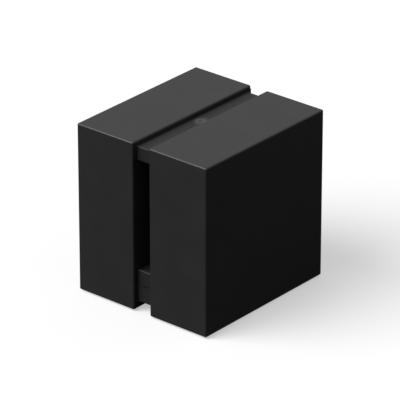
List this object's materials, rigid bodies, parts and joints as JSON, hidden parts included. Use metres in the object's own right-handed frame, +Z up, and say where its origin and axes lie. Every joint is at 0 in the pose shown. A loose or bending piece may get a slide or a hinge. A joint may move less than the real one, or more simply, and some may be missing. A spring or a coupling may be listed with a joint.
{
  "type": "streaming media player",
  "caption": "Cube-shaped streaming media player: upright slabs joined by a recessed neck with a power button on top, a front light slit, and sockets at the back.",
  "frame": {"origin": "on the surface that the player stands on, under the centre of its casing", "axes": "+X from the left slab to the right slab, -Y is the front with the light slit, +Z up"},
  "size_m": [0.0906, 0.0994, 0.101],
  "materials": {
    "casing": "matt black, very fine moulded grain",
    "panel": "matt black",
    "neck": "matt black",
    "button": "satin black",
    "symbol": "translucent grey light guide",
    "window": "smoked, passes infrared",
    "foot_rubber": "matt",
    "screw_steel": "blackened",
    "board_lacquer": "green solder mask",
    "chip_epoxy": "moulded epoxy",
    "pad_silicone": "soft grey-blue",
    "sink_aluminium": "bead-blasted",
    "can_tin": "tin plate",
    "socket_steel": "nickel plate",
    "socket_plastic": "moulded black",
    "contact_gold": "gold flash",
    "pin_brass": "nickel-plated brass",
    "lamp_resin": "clear resin",
    "receiver_resin": "dark resin",
    "ribbon_film": "white film",
    "connector_nylon": "ivory nylon",
    "lead_sleeve": "red insulation",
    "antenna_lacquer": "black solder mask",
    "coax_sleeve": "black sleeve",
    "capacitor_sleeve": "dark blue sleeve",
    "ferrite": "dull grey",
    "winding_tape": "yellow polyester tape",
    "fuse_glass": "ceramic tube",
    "sheet_card": "insulating card",
    "housing_nylon": "moulded nylon"
  },
  "bodies": {
    "casing": {"left_casing": "casing", "right_casing": "casing", "left_inner_panel": "panel", "right_inner_panel": "panel", "left_back_panel": "panel", "right_back_panel": "panel", "neck_top_bar": "neck", "neck_top_cover": "neck", "neck_lower_bar": "neck", "neck_lower_cover": "neck", "rubber_feet": "foot_rubber", "casing_screws": "screw_steel", "back_screws": "screw_steel", "neck_screws": "screw_steel", "board_screws": "screw_steel", "power_switch": "housing_nylon", "button_board": "board_lacquer", "indicator_lights": "lamp_resin", "ribbon_cables": "ribbon_film", "light_window": "window", "light_board": "board_lacquer", "infrared_receiver": "receiver_resin", "board_connectors": "connector_nylon", "power_leads": "lead_sleeve", "main_board": "board_lacquer", "power_board": "board_lacquer", "processor": "chip_epoxy", "thermal_pad": "pad_silicone", "memory_chips": "chip_epoxy", "flash_chip": "chip_epoxy", "heat_sink": "sink_aluminium", "shield_can": "can_tin", "radio_chip": "chip_epoxy", "antennas": "antenna_lacquer", "antenna_leads": "coax_sleeve", "ethernet_socket": "socket_plastic", "ethernet_contacts": "contact_gold", "usb_socket": "socket_steel", "hdmi_socket": "socket_steel", "socket_tongues": "socket_plastic", "optical_socket": "socket_plastic", "reset_switch": "housing_nylon", "filter_capacitors": "capacitor_sleeve", "power_inductors": "ferrite", "mains_inlet": "socket_plastic", "inlet_pins": "pin_brass", "fuse": "fuse_glass", "line_choke": "ferrite", "bridge_rectifier": "chip_epoxy", "bulk_capacitor": "capacitor_sleeve", "transformer_core": "ferrite", "transformer_windings": "winding_tape", "power_heat_sink": "sink_aluminium", "power_transistor": "chip_epoxy", "output_capacitors": "capacitor_sleeve", "insulating_sheet": "sheet_card"},
    "power_button": {"power_button": "button", "button_symbol": "symbol", "switch_plunger": "socket_plastic"},
    "reset_button": {"reset_button": "button"}
  },
  "joints": [
    {"name": "power_press", "type": "slide", "parent": "casing", "child": "power_button", "axis": [0, 0, -1], "range_m": [0, 0.0005], "stiffness_N_per_m": 3000, "springref_m": -0.0003},
    {"name": "reset_press", "type": "slide", "parent": "casing", "child": "reset_button", "axis": [0, -1, 0], "range_m": [0, 0.0004], "stiffness_N_per_m": 2500, "springref_m": -0.0003}
  ]
}
